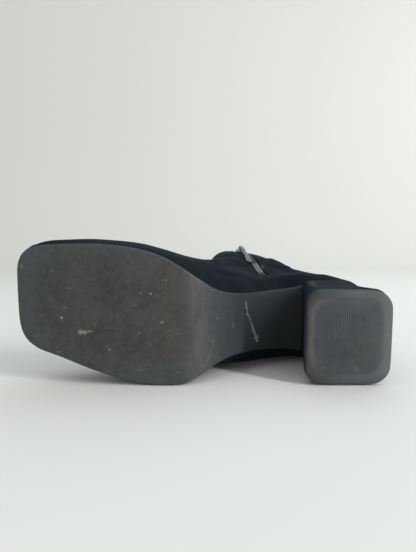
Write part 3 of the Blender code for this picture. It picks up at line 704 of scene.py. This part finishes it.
zipLook = {
    "dark": (0.012, 0.013, 0.015),
    # worn and tooth: the pale grey of the painted highlight on the tape and teeth
    "worn": (0.170, 0.175, 0.180),
    "tooth": (0.145, 0.150, 0.153),
    "toothDark": (0.020, 0.021, 0.024),
    "slider": ((0.42, 0.425, 0.42), 0.28),  # colour and roughness
    "tab": ((0.150, 0.172, 0.180), 0.42),
    # where the painted highlight lies, and its ragged outline
    "highlightCentre": (41.3, 9.5, 71.0),
    "highlightHalf": (7.4, 11.5, 9.0),
    "raggedScale": 420.0,
    "raggedReach": (3.0, 6.0, 3.0),  # in mm
}


def highlightZone(tree, place):
    # the lower stretch of the zip, painted pale grey as a highlight, with a ragged lower end
    raggedEdge = raggedPlace(tree, place, noiseAt(tree, place, zipLook["raggedScale"], 3.0), zipLook["raggedReach"])
    spot = placeGroup(tree, spotGroup, Vector=raggedEdge, Centre=scaled(zipLook["highlightCentre"], mm),
                      Radius=scaled(zipLook["highlightHalf"], mm), Strength=1.0)
    return spanMask(tree, spot["Mask"], 0.05, 0.45)


def makeTapeCloth():
    # woven zip tape, dark, with a pale grey painted highlight on its lower stretch
    material, tree, place = startMaterial("tapeCloth", 0.85, sheen=0.05, specular=0.2)
    weave = addNode(tree, "TexWave", {"bands_direction": "Y"}, Vector=place, Scale=900.0,
                    Distortion=0.4).outputs["Fac"]
    share = times(tree, weave, spanMask(tree, noiseAt(tree, place, 300.0, 4.0), 0.2, 0.7))
    # painted highlight: pale grey tape
    worn = mixColours(tree, share, scaled(zipLook["worn"], 0.45), zipLook["worn"])
    darkTape = mixColours(tree, share, zipLook["dark"], scaled(zipLook["dark"], 3))
    colour = mixColours(tree, highlightZone(tree, place), darkTape, worn)
    return setLook(material, colour, bumpFrom(tree, share, 0.4, 0.0002))


def makeTeethMaterial():
    # coil teeth: dull dark nylon, painted pale grey as a highlight together with the tape
    material, tree, place = startMaterial("zipTeeth", 0.5)
    colour = mixColours(tree, highlightZone(tree, place), zipLook["toothDark"], zipLook["tooth"])
    return setLook(material, colour)


def makeZipMetal(name, tone, roughness):
    # satin plating with fine scratches along it and a little grime
    material, tree, place = startMaterial(name, roughness, metallic=1.0)
    brushed = addNode(tree, "Mapping", Vector=place, Scale=(1.0, 0.12, 1.0)).outputs[0]
    lines = noiseAt(tree, brushed, 2600.0, 2.0)
    grime = times(tree, spanMask(tree, noiseAt(tree, place, 380.0, 3.0), 0.50, 0.66), 0.6)
    dull = plus(tree, grime, times(tree, lines, 0.25))
    colour = mixColours(tree, dull, tone, scaled(tone, 0.35))
    return setLook(material, colour, bumpFrom(tree, lines, 0.12, 0.0001))


threadLook = {"dark": (0.006, 0.007, 0.009), "light": (0.016, 0.018, 0.022)}


def makeThread():
    material, tree, place = startMaterial("seamThread", 0.8, specular=0.12)
    noise = noiseAt(tree, place, 1500.0, 2.0)
    return setLook(material, mixColours(tree, noise, threadLook["dark"], threadLook["light"]))


suedeMaterial = makeSuede()
liningMaterial = makeLining()
soleMaterial = makeSoleRubber()
tipMaterial = makeTipRubber()
insoleMaterial = makeInsoleLeather()
tapeMaterial = makeTapeCloth()
teethMaterial = makeTeethMaterial()
sliderMetal = makeZipMetal("sliderMetal", *zipLook["slider"])
tabMetal = makeZipMetal("tabMetal", *zipLook["tab"])
threadMaterial = makeThread()
print("materials ready")

upperShape = {
    # line through the middle of the foot and shaft, from the toe to the collar
    "core": [(-100, -62, 58), (-60, -52, 47), (-20, -38, 42), (15, -12, 39), (40, 10, 37), (48, 50, 38),
             (52, 95, 40)],
    "heelCore": [(92, -25, 31), (60, 15, 34)],
    "sharp": 50,
    "shading": 55,
    "crispEdge": 0.8,
    "creaseTaper": 0.16,  # share of a crease's length over which its ends run out
    "zipEdge": (5.0, 11.0),  # from the zip's middle line: no creases before, all of them beyond
    "unevenness": 0.35,
    "liningFacing": -0.45,  # faces that look further inwards carry the lining
}

zipLine = [(42.7, -3.4, 66.6), (40.8, 6.6, 71.0), (38.9, 16.6, 74.8), (37.0, 26.6, 77.9), (35.1, 36.6, 80.3),
           (33.2, 46.6, 81.6), (31.3, 56.6, 82.4), (28.5, 71.5, 83.2)]

creases = {
    # route in mm, height (+ ridge, - trough) and half width in mm
    "ankleFold": ([(4, -24, 77), (11, 2, 77.6), (18, 9, 77.3), (25, 13, 76.3), (31, 14.5, 74.8)], 1.5, 2.8),
    "ankleCrease": ([(2, -36, 75), (8, -26, 75), (15, -9, 74.4), (22, 1, 74), (29, 5, 72.6),
                     (34, 5.5, 71)], -1.7, 2.4),
    "lowerCrease": ([(4, -46, 70.5), (12, -39, 69), (20, -34, 67), (28, -26, 66)], -0.6, 3.2),
    "shaftCrease": ([(4, 14, 79), (13, 22, 81), (21, 25, 81), (27, 26, 80.4)], -1.1, 2.6),
    "shoulder": ([(-12, 16, 76), (-5, 26, 78), (-2, 40, 78)], 1.3, 6.0),
    "shoulderDip": ([(2, 8, 78), (6, 20, 80), (8, 36, 81)], -1.2, 3.5),
    "behindZip": ([(48, 22, 74), (56, 14, 70.5), (64, 2, 67.5), (70, -12, 66)], -0.8, 3.6),
    "rearBulge": ([(55, 48, 77.5), (60.5, 34, 75.2), (64.5, 24, 74.2), (67.5, 12, 71.6)], 2.1, 4.2),
    "rearDip": ([(72, 34, 70), (72.5, 24, 70), (73, 14, 69.5)], -0.8, 3.0),
    "backFold": ([(62, 40, 72), (70, 30, 67), (78, 24, 59), (84, 21, 48)], 0.9, 4.5),
    "backCrease": ([(64, 27, 70), (74, 18, 64), (84, 12, 54), (90, 11, 42)], -1.0, 4.0),
    "counterSwell": ([(84, -9, 66), (99, -11, 63), (111, -13, 57), (117, -14, 46)], 1.0, 13.0),
    "counterEdge": ([(110, 2, 72), (113, -4, 64), (116, -12, 55), (120.5, -16, 44), (121.5, -18, 34)],
                    3.3, 6.5),
    "collarEase": ([(-6, 66, 70), (2, 74, 77), (9, 74, 83), (18, 73, 85.5), (32, 72, 86)], -1.0, 7.0),
    "toeCorner": ([(-121.5, -67, 70), (-120, -66, 77), (-117.5, -65.2, 83), (-114.5, -64.3, 87.5),
                   (-110.5, -63.5, 90)], 0.8, 3.4),
    "toeSwell": ([(-118, -66, 78), (-108, -63, 87), (-90, -60, 90), (-60, -54, 89), (-30, -46, 86)],
                 0.8, 6.5),
    "vampFlexOne": ([(-30, -62, 84), (-31, -50, 76), (-34, -40, 62), (-36, -36, 46), (-36, -42, 28),
                     (-34, -54, 14)], -0.9, 3.0),
    "vampFlexTwo": ([(-42, -62, 86), (-44, -50, 78), (-47, -43, 62), (-48, -41, 46), (-48, -46, 28),
                     (-46, -58, 16)], -0.7, 2.6),
    "vampRoll": ([(-36, -58, 82), (-38, -47, 74), (-41, -40, 60), (-42, -38, 46), (-42, -44, 28)], 0.6, 3.5),
    "instepFold": ([(-12, -28, 66), (-6, -14, 60), (-5, -8, 46), (-3, -10, 30), (2, -22, 16)], -1.0, 4.0),
    "shinFold": ([(-4, 14, 66), (-7, 10, 56), (-8, 8, 42), (-6, 10, 28), (0, 16, 14)], -0.9, 4.0),
    "outerAnkle": ([(16, 4, 3), (30, -2, 2.5), (46, -4, 3), (60, 0, 4)], -0.5, 5.0),
    "seam": ([(41, -4, 66.5), (36, -13, 65.6), (31, -22, 65.4), (27.5, -33, 61.8), (24.4, -42, 58.5),
              (22.2, -50, 55.6)], -0.4, 1.0),
    "seamEdge": ([(39.5, -5, 66.8), (34.3, -14, 66), (29.3, -23, 65.8), (25.9, -34, 62.2), (22.9, -43, 58.9),
                  (20.8, -50.5, 56)], 0.25, 0.9),
    "backSeam": ([(102.5, 76, 36), (102.6, 50, 36), (106, 30, 34), (113, 12, 32), (119.5, -4, 31),
                  (118, -19, 31)], 0.28, 1.6),
}


def outwardOf(points):
    # direction away from the middle line of foot, heel and shaft
    core = smoothRoute(upperShape["core"], 12)
    heel = smoothRoute(upperShape["heelCore"], 8)
    lines = np.vstack([core, heel])
    away = points[:, None, :] - lines[None, :, :]
    lengths = np.linalg.norm(away, axis=2)
    nearest = np.argmin(lengths, axis=1)
    rows = np.arange(len(points))
    return away[rows, nearest] / lengths[rows, nearest][:, None]


def awayFromZip(points):
    # 0 beside the zip, whose edges stay over the tape, and 1 further off
    return ramp(routeDistance(points, zipLine)[0], *upperShape["zipEdge"])


def pushCreases(piece, table):
    points = readPoints(piece)
    lift = np.zeros(len(points))
    for route, height, half in table.values():
        gap, along = routeDistance(points, smoothRoute(route, 6))
        taper = eased(ramp(np.minimum(along, 1 - along), 0, upperShape["creaseTaper"]))
        lift += height * np.exp(-(gap / half) ** 2) * taper
    lift *= awayFromZip(points)
    writePoints(piece, points + outwardOf(points) * lift[:, None])


def wrinkle(points, size, seed):
    # gentle unevenness of a worn surface: crossing waves of about one size in mm
    spread = np.random.default_rng(seed)
    total = np.zeros(len(points))
    count = 7
    for _ in range(count):
        direction = spread.normal(size=3)
        direction /= np.linalg.norm(direction)
        length = spread.uniform(size * 0.7, size * 1.6)
        total += np.sin(points @ direction * 2 * math.pi / length + spread.uniform(0, 6.28))
    return total / count


upper = smoothCopy("upper", "upperSuede", upperShape["sharp"], 2, upperShape["crispEdge"])
pushCreases(upper, creases)
points = readPoints(upper)
rise = upperShape["unevenness"] * wrinkle(points, 26, 4) * awayFromZip(points)
writePoints(upper, points + outwardOf(points) * rise[:, None])
for material in (suedeMaterial, liningMaterial):
    upper.data.materials.append(material)
faces = upper.data.polygons
facing = np.sum(outwardOf(readTriples(faces, "center") / mm) * readTriples(faces, "normal"), axis=1)
faces.foreach_set("material_index", (facing < upperShape["liningFacing"]).astype(int))
finishPiece(upper, [], upperShape["shading"], "boot", "upper")
upperTree = rayTree(upper)
print("upper:", len(upper.data.polygons), "faces")

soleShape = {
    "sharp": 38,
    "shading": 35,
    "levels": 3,
    "edge": 0.4,
    "unevenness": 0.05,
    "down": (0.0, -0.99926, -0.0384),  # square to the tread, out of the sole
}

outsole = smoothCopy("outsole", "outsoleRubber", soleShape["sharp"], soleShape["levels"])
points = readPoints(outsole)
rise = soleShape["unevenness"] * (wrinkle(points, 9, 11) + wrinkle(points, 3.5, 12))
writePoints(outsole, points + np.array(soleShape["down"]) * rise[:, None])
addBevel(outsole, soleShape["edge"], 2, soleShape["sharp"])
finishPiece(outsole, [soleMaterial], soleShape["shading"], "boot", "outsole")
print("outsole:", len(outsole.data.polygons), "faces")

insole = smoothCopy("insole", "insoleSock", soleShape["sharp"], 2)
addBevel(insole, soleShape["edge"], 2, soleShape["sharp"])
finishPiece(insole, [insoleMaterial], soleShape["shading"], "boot", "insole")
print("insole:", len(insole.data.polygons), "faces")

blockShape = {
    "sharp": 40,
    "edge": 0.6,
    # in mm: the cover stands proud of the tip at the back of its inner side
    "flare": (0.7, 0.5),
    "flareBack": (84, 100),
    "flareInner": (36, 56),
}

block = smoothCopy("heel_block", "heelBlockSuede", blockShape["sharp"], 2)
points = readPoints(block)
flare = ramp(points[:, 0], *blockShape["flareBack"]) * ramp(points[:, 2], *blockShape["flareInner"])
points[:, 0] += blockShape["flare"][0] * flare
points[:, 2] += blockShape["flare"][1] * flare
writePoints(block, points)
addBevel(block, blockShape["edge"], 3, blockShape["sharp"])
finishPiece(block, [suedeMaterial], blockShape["sharp"], "boot", "heel_block")


def tipDepth(points):
    # height of a point above the plane of the tread, into the heel
    return points[:, 1] - tipShape["treadHeight"] + tipShape["lean"] * (points[:, 2] - tipShape["tipMiddle"])


tip = smoothCopy("top_lift", "heelTipRubber", tipShape["sharp"], 2)
points = readPoints(tip)
depth = tipDepth(points)
middle = (points.min(axis=0) + points.max(axis=0)) / 2
inner = np.all(np.abs(points - middle)[:, [0, 2]] < tipShape["grooveHalf"], axis=1)
flat = (depth > tipShape["grooveDepth"][0]) & (depth < tipShape["grooveDepth"][1]) & inner
points[flat, 1] -= depth[flat]
writePoints(tip, points)
startEdit(tip)
bpy.ops.mesh.dissolve_limited(angle_limit=math.radians(0.5))
endEdit()
addBevel(tip, tipShape["rim"], 4, 30)
startEdit(tip)
for axis, half, spacing in zip((0, 2), tipShape["cutHalf"], tipShape["cutSpacing"]):
    normal = np.eye(3)[axis]
    for value in np.arange(middle[axis] - half, middle[axis] + half + 0.01, spacing):
        bpy.ops.mesh.select_all(action="SELECT")
        bpy.ops.mesh.bisect(plane_co=normal * value * mm, plane_no=normal)
endEdit()
points = readPoints(tip)
onTread = tipDepth(points) < tipShape["treadDepth"]
parts = np.abs(points[:, [0, 2]] - heelTip["centre"]) / heelTip["panelHalf"]
reach = np.sum(parts ** tipShape["squareness"], axis=1) ** (1 / tipShape["squareness"])
inside = eased(1 - ramp(reach, *tipShape["panelEdge"]))
kept = 1 - ramp(reach, tipShape["ribReach"] - tipShape["ribFade"], tipShape["ribReach"])
ribs = tipShape["ribHeight"] * kept * np.cos(points[:, 0] * 2 * math.pi / tipShape["ribPitch"])
rise = (tipShape["recess"] - ribs) * inside + tipShape["unevenness"] * wrinkle(points, 12, 21)
points[onTread, 1] += rise[onTread]
writePoints(tip, points)
finishPiece(tip, [tipMaterial], tipShape["shading"], "boot", "top_lift")
print("heel ready, tip:", len(tip.data.polygons), "faces")

zipShape = {
    "sharp": 30,
    "shading": 35,
    "crispEdge": 0.9,
    "outward": (0.136, -0.038, 0.990),  # out of the wall, and across the tape
    "across": (0.982, 0.186, 0.0),
    "chainHalf": 3.0,
    "ribPitch": 1.7,
    "ribHeight": 0.16,
    "ridgePlace": 3.75,  # soft ridges of rubbed cloth beside the chain, low on the zip
    "ridgeHalf": 0.5,
    "ridgeHeight": 1.3,
    "ridgeEnd": (18, 24),  # they run out between these heights
    "toothPitch": 1.2,
    "toothSize": (2.1, 0.9, 0.9),  # across, along and out of the chain, in mm
    "toothEdge": 0.22,
    "toothOffset": 1.35,
    "toothLift": -0.14,
    "castFrom": 12,
    "underSlider": (0.765, 0.945),  # share of the chain that the slider covers
    "openSpread": 0.6,
    "sliderEdge": 0.35,
    "tabEdge": 0.3,
}


def zipFrame(share):
    # place on the zip's middle line, its directions across, along and outwards, and its length
    length, placeAt = alongLine(smoothRoute(zipLine, 8))
    reach = 0.02  # share on either side, for the direction along
    ahead = placeAt(min(share + reach, 1) * length)
    behind = placeAt(max(share - reach, 0) * length)
    along = Vector(ahead - behind).normalized()
    across = along.cross(Vector(zipShape["outward"])).normalized()
    return Vector(placeAt(share * length)), across, along, across.cross(along).normalized(), length


tape = smoothCopy("zip_tape", "zipTape", zipShape["sharp"], 3, zipShape["crispEdge"])
points = readPoints(tape)
gap = routeDistance(points, smoothRoute(zipLine, 8))[0]
flank = ramp(gap, zipShape["chainHalf"], zipShape["chainHalf"] + 0.5)
acrossTape = (points - np.array(zipLine[0])) @ np.array(zipShape["across"])
ribs = zipShape["ribHeight"] * np.cos(acrossTape * 2 * math.pi / zipShape["ribPitch"]) * flank
beside = np.exp(-((gap - zipShape["ridgePlace"]) / zipShape["ridgeHalf"]) ** 2)
low = 1 - ramp(points[:, 1], *zipShape["ridgeEnd"])
points[:, 2] += ribs + zipShape["ridgeHeight"] * beside * low
writePoints(tape, points)
finishPiece(tape, [tapeMaterial], zipShape["shading"], "boot", "zip_tape")
tapeTree = rayTree(tape)


def makeTeeth():
    # both rows of the coil, half a pitch apart, left out under the slider
    bpy.ops.mesh.primitive_cube_add(size=1)
    tooth = sizePattern(zipShape["toothSize"])
    addBevel(tooth, zipShape["toothEdge"], 2, 30)
    teeth = []
    count = int(zipFrame(0.5)[4] / zipShape["toothPitch"])
    low, high = zipShape["underSlider"]
    for index in range(2 * count):
        share = (index + 0.5) / (2 * count)
        if low < share < high:
            continue
        side = 1 if index % 2 else -1
        place, across, along, outward, _ = zipFrame(share)
        spread = 0.0 if share < low else zipShape["openSpread"]
        start = place + across * side * (zipShape["toothOffset"] + spread) + outward * zipShape["castFrom"]
        hit = tapeTree.ray_cast(start * mm, -outward)[0]
        if hit is None:
            continue
        seat = hit + outward * zipShape["toothLift"] * mm
        teeth.append(placeCopy(tooth, across, along, outward, seat))
    print("zip teeth:", len(teeth))
    return joinCopies(tooth, teeth, "zipTeeth")


teeth = makeTeeth()
finishPiece(teeth, [teethMaterial], 40, "boot")

slider = copyNode("zip_slider", "zipSlider")
addBevel(slider, zipShape["sliderEdge"], 3, 30)
finishPiece(slider, [sliderMetal], 35, "boot", "zip_slider")

tab = copyNode("pull_tab", "pullTab")
addBevel(tab, zipShape["tabEdge"], 3, 30)
finishPiece(tab, [tabMetal], 30, "pull", "pull_tab")
print("zip ready")

stitching = {
    "pitch": 2.2,
    "size": (0.24, 0.85, 0.16),  # half width, half length, half height
    "steepest": -0.2,  # no stitch where the wall turns away from the ray
    # routes in mm beside the upper, and the direction they are laid on it from
    "rows": {
        "zipFront": ([(x - 7.0, y - 1.3, z + 6) for x, y, z in zipLine], (0.1, 0, 1)),
        "zipBack": ([(x + 7.0, y + 1.3, z + 6) for x, y, z in zipLine], (0.2, 0, 1)),
        "zipFoot": ([(36.6, -5.5, 74), (40.0, -6.8, 74), (43.4, -6.6, 74), (49.5, -2.6, 74)],
                    (0.1, -0.2, 1)),
        "seamRow": ([(38.3, -6.0, 74), (33.0, -15, 74), (28.0, -24, 73), (24.6, -34, 70), (21.7, -43, 67),
                     (19.7, -50, 64)], (0, -0.45, 0.9)),
    },
}


def layStitches():
    # rows of stitches lying along the upper's surface
    bpy.ops.mesh.primitive_uv_sphere_add(segments=8, ring_count=6, radius=1)
    stitch = sizePattern(stitching["size"])
    laid = []
    for route, above in stitching["rows"].values():
        length, placeAt = alongLine(smoothRoute(route, 12))
        down = -Vector(above).normalized()
        for distance in np.arange(1.0, length, stitching["pitch"]):
            place = Vector(placeAt(distance))
            hit, normal = upperTree.ray_cast(place * mm, down)[:2]
            if hit is None or normal.dot(down) > stitching["steepest"]:
                continue
            along = (Vector(placeAt(distance + 0.5)) - place).normalized()
            along = (along - normal * along.dot(normal)).normalized()
            laid.append(placeCopy(stitch, along.cross(normal), along, normal, hit))
    print("stitches:", len(laid))
    return joinCopies(stitch, laid, "seamStitches")


stitches = layStitches()
finishPiece(stitches, [threadMaterial], 60, "boot")
print("stitches ready")

stageShape = {
    "floor": (0.80, 0.81, 0.79),
    "world": (0.95, 0.97, 0.95),
    "worldStrength": 0.62,
    # the floor's run in mm, and where it turns up into the wall
    "front": -1500,
    "run": 5600,
    "turnStart": 1300.0,
    "turnRadius": 700.0,
    "width": 6,  # in metres
    # place, target, size in metres, power and tint
    "lights": {
        "keyLight": ((2170, -1570, 1500), (0, 0, 30), (0.2, 2.0), 56.0, (1.0, 1.0, 0.98)),
        "wallLight": ((1900, 1100, 1200), (600, 1500, 200), (0.9, 0.9), 3.4, (1.0, 1.0, 0.98)),
        "topFill": ((450, 380, 1000), (160, 40, 20), (1.2, 1.0), 2.4, (0.86, 0.94, 1.0)),
    },
    "cameraPlace": (-0.5, -333.1, 88.1),
    "cameraTilt": 86.0,
    "lens": 36.0 * 417 / 416,  # in mm, on a sensor 36 mm wide
}


def makeFloor():
    # a floor that turns up into a wall
    bpy.ops.mesh.primitive_grid_add(x_subdivisions=2, y_subdivisions=60, size=1)
    floor = bpy.context.object
    floor.name = "floorSweep"
    points = readPoints(floor)
    start, radius = stageShape["turnStart"], stageShape["turnRadius"]
    run = stageShape["front"] + (points[:, 1] * mm + 0.5) * stageShape["run"]
    turn = np.clip((run - start) / radius, 0, math.pi / 2)
    wall = np.clip(run - start - radius * math.pi / 2, 0, None)
    points[:, 0] *= stageShape["width"]
    points[:, 1] = np.where(run < start, run, start + radius * np.sin(turn))
    points[:, 2] = np.where(run < start, 0, radius * (1 - np.cos(turn)) + wall)
    writePoints(floor, points)
    makeActive(floor)
    bpy.ops.object.shade_smooth()
    material = startMaterial("paleFloor", 0.7)[0]
    floor.data.materials.append(setLook(material, stageShape["floor"]))


def addLight(name, place, target, size, power, tint):
    data = bpy.data.lights.new(name, "AREA")
    data.shape = "RECTANGLE"
    data.size, data.size_y = size
    data.energy = power
    data.color = tint
    light = bpy.data.objects.new(name, data)
    bpy.context.collection.objects.link(light)
    light.location = Vector(place) * mm
    light.rotation_euler = (Vector(target) * mm - light.location).to_track_quat("-Z", "Y").to_euler()


makeFloor()
world = bpy.data.worlds.new("studio")
bpy.context.scene.world = world
world.use_nodes = True
background = world.node_tree.nodes["Background"].inputs
background["Color"].default_value = (*stageShape["world"], 1)
background["Strength"].default_value = stageShape["worldStrength"]
for name, values in stageShape["lights"].items():
    addLight(name, *values)

camera = bpy.data.cameras.new("camera")
camera.sensor_fit = "HORIZONTAL"
camera.sensor_width = 36.0
camera.lens = stageShape["lens"]
cameraObject = bpy.data.objects.new("camera", camera)
cameraObject.location = Vector(stageShape["cameraPlace"]) * mm
cameraObject.rotation_euler = (math.radians(stageShape["cameraTilt"]), 0, 0)
bpy.context.collection.objects.link(cameraObject)
bpy.context.scene.camera = cameraObject
bpy.context.scene.view_settings.view_transform = "Standard"
print("stage ready")
